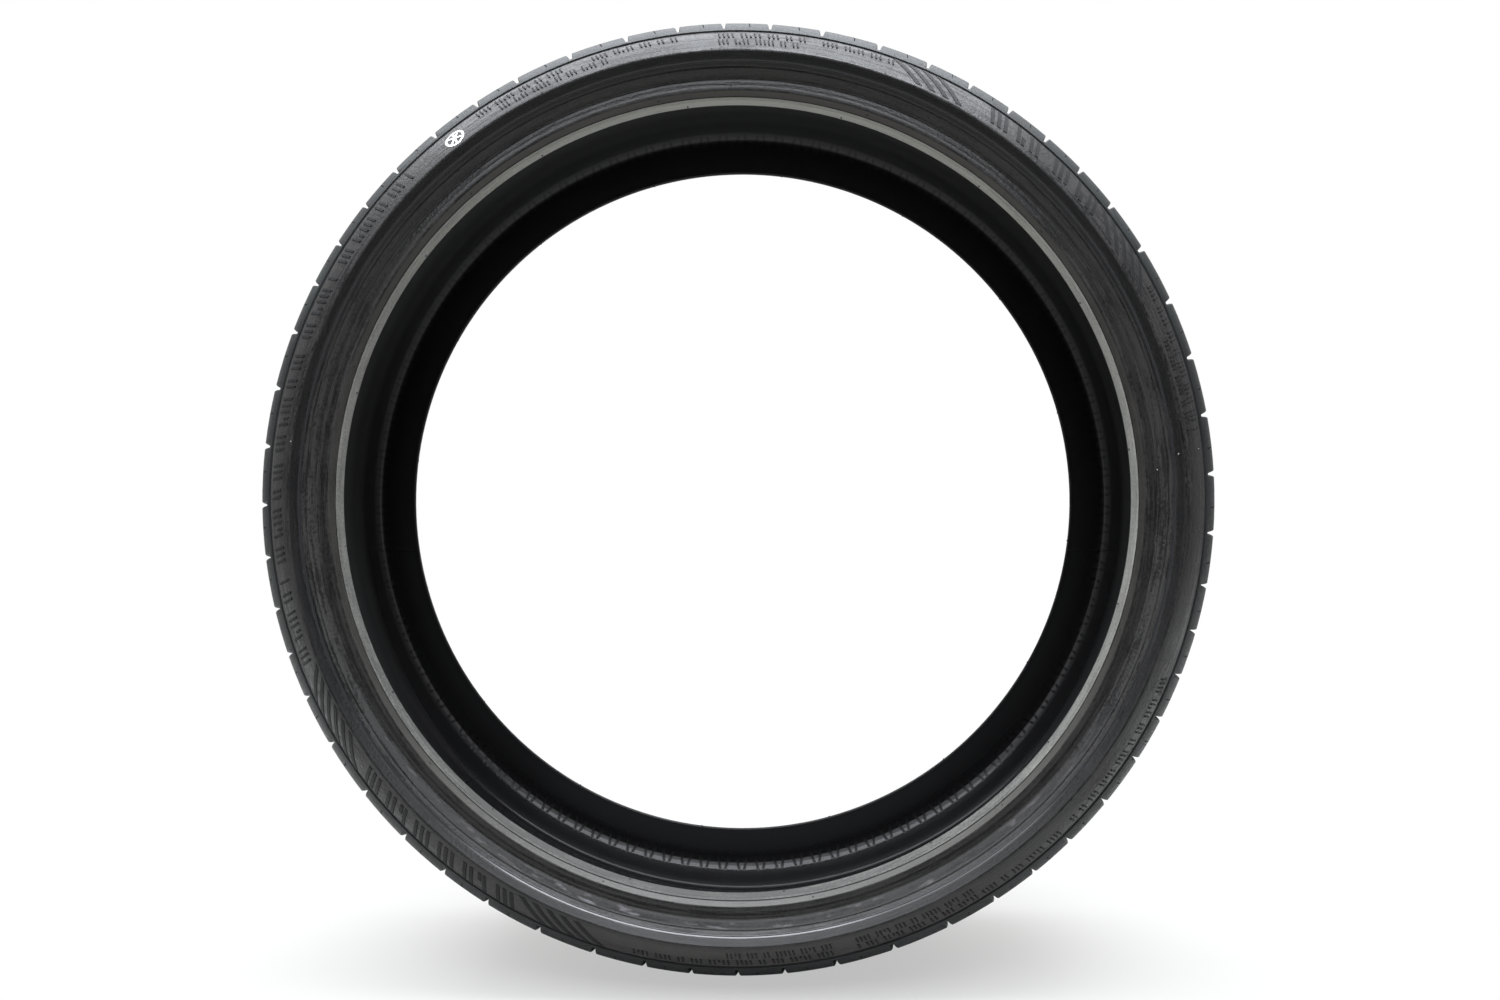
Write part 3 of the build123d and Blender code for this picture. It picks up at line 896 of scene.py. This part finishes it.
# The whole closed section as rows of points, from the chamber roof's middle over the outside sidewall,
# the tread and the inside sidewall, and back under the roof
def tyreModule():
    sideLead = crossLead(section["treadHalf"])
    rows = []
    for rank, (zone, point) in enumerate([*beadRows(), *sideRows()]):
        ease = min(rank / section["easeRows"], 1.0)
        rows.append((rank, zone, point, plainColumns, sideLead * ease, 0.5 - 0.5 * ease))
    for rank, (point, columns, lead) in enumerate(treadRows(), len(rows)):
        rows.append((rank, "tread", point, columns, lead, 0.0))
    outsideRows = [(rank, zone, outside(point), *rest) for rank, zone, point, *rest in rows]
    middle = [(len(rows), "tread", point, columns, 0.0, 0.5) for point, columns in middleRows()]
    insideRows = []
    for rank, zone, point, columns, lead, side in rows[:0:-1]:
        insideRows.append((rank, "sidewall" if zone == "sole" else zone, point, columns, -lead, 1 - side))
    loop = [*outsideRows, *middle, *insideRows]

    points, leads, sides, girths, starts = [], [], [], [], []
    lengths = [0.0]
    for previous, row in zip(rows, rows[1:]):
        lengths.append(lengths[-1] + abs(row[2] - previous[2]))
    lengths.append(lengths[-1])
    for rank, zone, point, columns, lead, side in loop:
        starts.append(len(points))
        for share, drop in columns:
            points.append((share, point.real, point.imag - drop))
            leads.append(lead)
            sides.append(side)
            girths.append(lengths[rank])

    faces, faceZones = [], []
    past, near = 2.0, 1e-6  # beyond every share, and close enough to be the same share
    for at, row in enumerate(loop):
        after = (at + 1) % len(loop)
        here, there = row[3], loop[after][3]
        zone = zones.index(max(row, loop[after], key=lambda each: each[0])[1])
        i, j = 0, 0
        while i < len(here) - 1 or j < len(there) - 1:
            a, b = starts[at] + i, starts[after] + j
            nextHere = here[i + 1][0] if i < len(here) - 1 else past
            nextThere = there[j + 1][0] if j < len(there) - 1 else past
            if len(here) == len(there) or abs(nextHere - nextThere) < near:
                faces.append((a, b, b + 1, a + 1))
                i, j = i + 1, j + 1
            elif nextHere < nextThere:
                faces.append((a, b, a + 1))
                i += 1
            else:
                faces.append((a, b, b + 1))
                j += 1
            faceZones.append(zone)
    return makeModule("tyre_module", points, faces, faceZones, leads, sides, girths)


def pitchStarts():
    angle = math.radians(tread["sequenceStart"])
    starts = []
    for letter in tread["sequence"]:
        pitch = 2 * math.pi * tread["pitchShares"][letter] / pitchTotal
        starts.append((angle, pitch, 0))
        angle += pitch
    return starts


tyre = rubberPiece(bendRound("tyre_rubber_body", [tyreModule()], pitchStarts(), tread["insideShift"]))
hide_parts("tyre")

# Plain raised bars in the mould's marking fields, on the sidewall plates
marks = {
    "sunk": 0.3,
    "bevel": 0.25,
    "part": 4.0,  # the length of bar that is left straight
    "atRadius": 292.0,  # mm, where widths are measured
    "groups": (
        {
            "name": "hatch",
            "height": 0.3,
            "spans": ((61, 68), (28.5, 36.5), (202.5, 213.5), (243.5, 251.5)),  # degrees
            "step": 1.9,  # degrees
            "bars": ((0.08, 0.92),),  # shares of the plate, for each height of bar
            "pattern": "0",  # which bar stands at each step
            "width": 4.6,
            "lean": 45.0,  # degrees
        },
        {
            "name": "panel",
            "height": 0.4,
            "spans": ((39, 46), (48, 56), (216, 228), (230, 241)),
            "step": 1.0,
            "bars": ((0.16, 0.86), (0.16, 0.46)),
            "pattern": "000 0100 ",
            "width": 3.1,
            "lean": 16.0,
        },
        {
            "name": "ladder",
            "height": 0.5,
            "spans": ((135, 149), (151.5, 159.5), (162, 174), (176, 188), (190, 201)),
            "step": 0.8,
            "bars": ((0.26, 0.72), (0.26, 0.48)),
            "pattern": "000 01000 00 ",
            "width": 2.0,
            "lean": 8.0,
        },
        {
            "name": "upper_ribs",
            "height": 0.6,
            "spans": ((70, 79), (81, 92), (97, 108), (112, 124), (8, 27), (-44, -23), (257, 282), (285, 314)),
            "step": 0.56,
            "bars": ((0.52, 0.76), (0.52, 0.63)),
            "pattern": "0000 00100 000 00 ",
            "width": 1.4,
            "lean": 8.0,
        },
        {
            "name": "lower_ribs",
            "height": 0.6,
            "spans": ((82, 92), (106, 121), (8, 20), (268, 282), (285, 301)),
            "step": 0.52,
            "bars": ((0.19, 0.41), (0.19, 0.3)),
            "pattern": "000 0100 00000 00 ",
            "width": 1.3,
            "lean": 8.0,
        },
    ),
}


# A module from lofts, each a list of rings of (reach, section point, lead), looped or closed at both ends
def loftModule(name, lofts, zone):
    points, leads, faces = [], [], []
    for rings, looped in lofts:
        first, size, count = len(points), len(rings[0]), len(rings)
        for reach, point, lead in (each for ring in rings for each in ring):
            points.append((reach, point.real, point.imag))
            leads.append(lead)
        for ring in range(count if looped else count - 1):
            here, there = first + ring * size, first + (ring + 1) % count * size
            for side in range(size):
                after = (side + 1) % size
                faces.append((here + side, here + after, there + after, there + side))
        if not looped:
            faces.append(tuple(range(first, first + size)))
            faces.append(tuple(range(first + (count - 1) * size, first + count * size)))
    return makeModule(name, points, faces, [zones.index(zone)] * len(faces), leads)


# A raised bar that follows the bowed plate, bevelled all round
def markBar(group, low, high):
    bevelShare = marks["bevel"] / plateLength
    first, last = low + bevelShare, high - bevelShare
    parts = max(1, round((last - first) * plateLength / marks["part"]))
    tops = [(first + (last - first) * step / parts, 1.0) for step in range(parts + 1)]
    rings = []
    for share, lift in ((low, 0.0), *tops, (high, 0.0)):
        lead = (share - (low + high) / 2) * plateLength * slope(group["lean"])
        half = group["width"] / 2
        inset = half - marks["bevel"]
        base, top = outside(plate(share, -marks["sunk"])), outside(plate(share, group["height"] * lift))
        rings.append([(-half, base, lead), (-inset, top, lead), (inset, top, lead), (half, base, lead)])
    return loftModule(group["name"], [(rings, False)], "mark")


def markStarts():
    starts = []
    groupStart = 0
    for group in marks["groups"]:
        for first, last in group["spans"]:
            for step in range(math.floor((last - first) / group["step"]) + 1):
                bar = group["pattern"][step % len(group["pattern"])]
                if bar != " ":
                    turn = math.radians(last - step * group["step"])
                    starts.append((turn, 1 / marks["atRadius"], groupStart + int(bar)))
        groupStart += len(group["bars"])
    return starts


# Faces every closed island outward
def faceOutward(mesh):
    edit = bmesh.new()
    edit.from_mesh(mesh)
    bmesh.ops.recalc_face_normals(edit, faces=edit.faces)
    edit.to_mesh(mesh)
    edit.free()
    return mesh


# The inside's copy is the outside's turned half round
def bothSides(mesh, insideName):
    rubberPiece(mesh)
    copy = mesh.copy()
    copy.name = insideName
    copy.transform(Matrix.Rotation(math.pi, 4, "Z"))
    rubberPiece(copy)


markModules = [markBar(group, *bar) for group in marks["groups"] for bar in group["bars"]]
bothSides(faceOutward(bendRound("outside_marks", markModules, markStarts())), "inside_marks")

# Trimmed vent nubs, as the mould leaves them on the bead, the heel and the rim protector
nubs = {
    "corners": 7,
    "round": 0.7,
    "taper": 0.75,
    "sunk": 0.3,
    "rows": (
        {
            "name": "sole",
            "at": 93.0 + 255.27j,
            "axis": -1j,
            "height": 0.5,
            "first": 7.0,  # degrees
            "count": 16,
        },
        {
            "name": "heel",
            "at": 101.8 + 259.2j,
            "axis": 0.71 - 0.71j,
            "height": 0.4,
            "first": 11.0,
            "count": 12,
        },
        {
            "name": "ridge",
            "at": 113.3 + 284.7j,
            "axis": 0.84 + 0.54j,
            "height": 0.5,
            "first": 3.0,
            "count": 16,
        },
    ),
}


def nubModule(row, zone="tread"):
    rings = []
    for along, size in ((-nubs["sunk"], 1.0), (row["height"], nubs["taper"])):
        ring = []
        for corner in range(nubs["corners"]):
            turn = 2 * math.pi * corner / nubs["corners"]
            radius = row.get("round", nubs["round"]) * size
            point = row["at"] + row["axis"] * along + 1j * row["axis"] * radius * math.sin(turn)
            ring.append((radius * math.cos(turn), outside(point), 0.0))
        rings.append(ring)
    return loftModule(row["name"], [(rings, False)], zone)


# Even turns round the axle, in radians
def evenTurns(first, count):
    return [math.radians(first + 360 * step / count) for step in range(count)]


nubModules = [nubModule(row) for row in nubs["rows"]]
nubStarts = [
    (turn, 1 / row["at"].imag, number)
    for number, row in enumerate(nubs["rows"])
    for turn in evenTurns(row["first"], row["count"])
]
bothSides(faceOutward(bendRound("outside_vent_nubs", nubModules, nubStarts)), "inside_vent_nubs")

# Wear bars, low bridges on the straight grooves' floors
wearBar = {
    "height": 1.6,
    "sunk": 0.4,
    "overlap": 0.5,  # into each of the groove's walls
    "length": 10.0,
    "slope": 1.0,
    "first": 21.0,  # degrees
    "count": 6,
}


# The four corners of a box's end
def boxCorners(near, far, low, high):
    return (near, low), (near, high), (far, high), (far, low)


def wearBarModule():
    lofts = []
    lean = slope(tread["grooveLean"])
    for centre, width in (tread["innerGroove"], tread["outerGroove"]):
        floor = crownSurface(centre) - tread["grooveDepth"]
        half = width / 2 - tread["grooveDepth"] * lean + wearBar["overlap"]
        for middle in (-centre, centre):
            rings = []
            for end, lift in ((-1, 0.0), (-1, 1.0), (1, 1.0), (1, 0.0)):
                reach = end * (wearBar["length"] / 2 - wearBar["slope"] * lift)
                low, high = floor - wearBar["sunk"], floor + wearBar["height"] * lift
                corners = boxCorners(middle - half, middle + half, low, high)
                rings.append([(reach, complex(*corner), 0.0) for corner in corners])
            lofts.append((rings, False))
    return loftModule("wear_bar", lofts, "tread")


wearBarPitch = 1 / (section["crownRadius"] - tread["grooveDepth"])
wearBarStarts = [(turn, wearBarPitch, 0) for turn in evenTurns(wearBar["first"], wearBar["count"])]
rubberPiece(faceOutward(bendRound("tread_wear_bars", [wearBarModule()], wearBarStarts)))

# A round paint stamp on the outside plate, and a few flecks of the same chalky white
stamp = {
    "angle": 128.0,  # degrees
    "share": 0.36,
    "outer": 7.2,
    "inner": 5.6,
    "thick": 0.12,
    "sunk": 0.2,
    "steps": 28,  # round the ring
    "strokes": ((-4.6, -2.6, 4.4, 3.2), (-3.4, 3.6, 3.8, -3.8), (-0.4, 5.6, 0.3, -5.6)),  # mm, from and to
    "strokeWidth": 1.5,
    "flecks": (
        {
            "name": "fleck_slope",
            "at": 111.6 + 280.75j,
            "axis": 0.62 - 0.78j,
            "height": 0.2,
            "round": 0.5,
            "turn": 5.6,  # degrees
        },
        {
            "name": "fleck_valley",
            "at": 102.0 + 269.3j,
            "axis": 0.97 - 0.24j,
            "height": 0.2,
            "round": 0.42,
            "turn": 3.8,
        },
        {
            "name": "fleck_plate",
            "at": plate(0.66),
            "axis": 0.72 + 0.69j,
            "height": 0.2,
            "round": 0.42,
            "turn": 6.0,
        },
        {
            "name": "fleck_ridge",
            "at": 113.9 + 284.1j,
            "axis": 0.9 + 0.43j,
            "height": 0.25,
            "round": 0.42,
            "turn": 172.8,
        },
    ),
}


def stampPoint(reach, up, lift):
    return reach, outside(plate(stamp["share"] + up / plateLength, lift)), 0.0


def stampModule():
    low, high = -stamp["sunk"], stamp["thick"]
    ring = []
    for step in range(stamp["steps"]):
        way = cmath.exp(2j * math.pi * step / stamp["steps"])
        corners = boxCorners(stamp["inner"], stamp["outer"], low, high)
        ring.append([stampPoint(way.real * far, way.imag * far, lift) for far, lift in corners])
    lofts = [(ring, True)]
    for fromReach, fromUp, toReach, toUp in stamp["strokes"]:
        start, way = complex(fromReach, fromUp), complex(toReach - fromReach, toUp - fromUp)
        side = 1j * way / abs(way) * stamp["strokeWidth"] / 2
        rings = []
        for middle in (start, start + way / 2, start + way):
            corners = boxCorners(middle - side, middle + side, low, high)
            rings.append([stampPoint(corner.real, corner.imag, lift) for corner, lift in corners])
        lofts.append((rings, False))
    return loftModule("stamp", lofts, "paint")


stampModules = [stampModule(), *(nubModule(fleck, "paint") for fleck in stamp["flecks"])]
stampTurns = [stamp["angle"], *(fleck["turn"] for fleck in stamp["flecks"])]
stampStarts = [(math.radians(turn), 1 / marks["atRadius"], number) for number, turn in enumerate(stampTurns)]
rubberPiece(faceOutward(bendRound("paint_stamp", stampModules, stampStarts)))

# Floor and soft light: a bright backdrop, a wide box overhead with a brighter core, and one by the camera
studio = {
    "floorReach": 6.0,  # m to each side
    "floorDrop": 0.0005,  # m, under the tyre's lowest point
    "floorRough": 0.9,
    "floorFront": "#7f7e7b",
    "floorBack": "#e0dfdb",
    "floorShade": (-0.32, 0.04),  # m along the axle, from the front colour to the back one
    "floorFade": (0.1, 0.55),  # m from the tyre's foot
    "floorWhite": 0.5,  # how white the camera sees it at the tyre's foot
    "overhead": {"at": (-0.2, -0.6, 1.4), "size": (2.4, 3.0), "radiance": 4.2, "colour": "#f1f5fb"},
    "core": {"at": (0.18, -0.42, 1.38), "size": (1.25, 0.34), "radiance": 12.5, "colour": "#f1f5fb"},
    "front": {"at": (0.022, -1.02, -0.01), "size": (0.14, 0.14), "radiance": 3.5, "colour": "#fffaf5"},
    "roomLevels": (0.36, 0.95),  # in front and behind
    "roomRight": 0.78,  # against the left
    "dimFront": (-1.0, -0.82, 0.3),  # straight in front, on the camera's own side
    "dimSides": (0.6, 0.95, 0.4),  # out to the left and right, less so towards the back
    "dimBack": 0.6,  # how much less so
}


def softBox(name, look, aim):
    lamp = bpy.data.lights.new(name, "AREA")
    lamp.shape = "RECTANGLE"
    lamp.size, lamp.size_y = look["size"]
    lamp.energy = look["radiance"] * math.pi * lamp.size * lamp.size_y
    lamp.color = hexColour(look["colour"])[:3]
    light = bpy.data.objects.new(name, lamp)
    light.location = look["at"]
    light.rotation_euler = Vector(aim).to_track_quat("-Z", "Y").to_euler()
    bpy.context.scene.collection.objects.link(light)


def makeFloor():
    reach = studio["floorReach"]
    mesh = bpy.data.meshes.new("floor")
    low = cadLow.z - studio["floorDrop"]
    corners = [(-reach, -reach, low), (reach, -reach, low), (reach, reach, low), (-reach, reach, low)]
    mesh.from_pydata(corners, [], [(0, 1, 2, 3)])
    floor = bpy.data.objects.new("floor", mesh)
    bpy.context.scene.collection.objects.link(floor)
    finish = bpy.data.materials.new("pale_floor")
    finish.use_nodes = True
    tree = finish.node_tree
    shader = tree.nodes["Principled BSDF"]
    shader.inputs["Roughness"].default_value = studio["floorRough"]
    place = addNode(tree, "ShaderNodeTexCoord", output="Object")
    along = addNode(tree, "ShaderNodeSeparateXYZ", [place], "Y")
    behind = addNode(tree, "ShaderNodeMapRange", [along, *studio["floorShade"]])
    shades = {0: behind, 6: hexColour(studio["floorFront"]), 7: hexColour(studio["floorBack"])}
    colour = addNode(tree, "ShaderNodeMix", shades, 2, data_type="RGBA")
    feed(tree, shader.inputs["Base Color"], colour)
    # seen by the camera, the floor goes over to white away from the tyre
    flat = addNode(tree, "ShaderNodeVectorMath", [place, (1, 1, 0)], operation="MULTIPLY")
    away = addNode(tree, "ShaderNodeVectorMath", [flat], "Value", operation="LENGTH")
    fading = [away, *studio["floorFade"], studio["floorWhite"]]
    fade = addNode(tree, "ShaderNodeMapRange", fading, interpolation_type="SMOOTHSTEP")
    seen = addNode(tree, "ShaderNodeLightPath", output="Is Camera Ray")
    share = addNode(tree, "ShaderNodeMath", [fade, seen], operation="MULTIPLY")
    white = addNode(tree, "ShaderNodeEmission", {"Color": (1, 1, 1, 1), "Strength": 1.0})
    mixed = addNode(tree, "ShaderNodeMixShader", [share, shader.outputs[0], white])
    feed(tree, tree.nodes["Material Output"].inputs["Surface"], mixed)
    mesh.materials.append(finish)


# The room is dim in front and light behind, and white where the camera sees it
def makeWorld():
    world = bpy.data.worlds.new("studio")
    bpy.context.scene.world = world
    world.use_nodes = True
    tree = world.node_tree
    place = addNode(tree, "ShaderNodeTexCoord", output="Generated")
    way = addNode(tree, "ShaderNodeSeparateXYZ", [place]).node.outputs
    across = addNode(tree, "ShaderNodeMath", [way["X"]], operation="ABSOLUTE")
    aside = addNode(tree, "ShaderNodeMath", [way["Y"], -studio["dimBack"], across], operation="MULTIPLY_ADD")
    level = addNode(tree, "ShaderNodeMapRange", [way["Y"], -1.0, 1.0, *studio["roomLevels"]])
    frontStart, frontEnd, frontShare = studio["dimFront"]
    sideStart, sideEnd, sideShare = studio["dimSides"]
    dims = (
        [way["Y"], frontStart, frontEnd, frontShare, 1.0],
        [aside, sideStart, sideEnd, 1.0, sideShare],
        [way["X"], -1.0, 1.0, 1.0, studio["roomRight"]],
    )
    for dim in dims:
        share = addNode(tree, "ShaderNodeMapRange", dim)
        level = addNode(tree, "ShaderNodeMath", [level, share], operation="MULTIPLY")
    seen = addNode(tree, "ShaderNodeLightPath", output="Is Camera Ray")
    background = tree.nodes["Background"].inputs
    feed(tree, background["Strength"], addNode(tree, "ShaderNodeMix", {0: seen, 2: level, 3: 1.0}))
    feed(tree, background["Color"], (1, 1, 1, 1))


makeFloor()
makeWorld()
softBox("overhead_softbox", studio["overhead"], (0, 0, -1))
softBox("overhead_core", studio["core"], (0, 0, -1))
softBox("camera_light", studio["front"], (0, 1, 0))
bpy.context.scene.view_settings.view_transform = "Standard"
print("studio set")

# The photograph's view: the axle runs nearly along the line of sight
shot = {
    "at": (0.02185, -0.986, -0.01025),
    "axleOffset": (19.6, 13.65),  # pixels from the picture's centre to where the axle's direction points
    "focal": 1382.3,  # pixels, on a picture 1500 wide
    "pictureWidth": 1500.0,
    "sensor": 36.0,  # mm
}
lens = bpy.data.cameras.new("camera")
lens.sensor_width = shot["sensor"]
lens.lens = shot["sensor"] * shot["focal"] / shot["pictureWidth"]
camera = bpy.data.objects.new("camera", lens)
camera.location = shot["at"]
aim = Vector((-shot["axleOffset"][0], shot["focal"], shot["axleOffset"][1]))
camera.rotation_euler = aim.to_track_quat("-Z", "Y").to_euler()
bpy.context.scene.collection.objects.link(camera)
bpy.context.scene.camera = camera
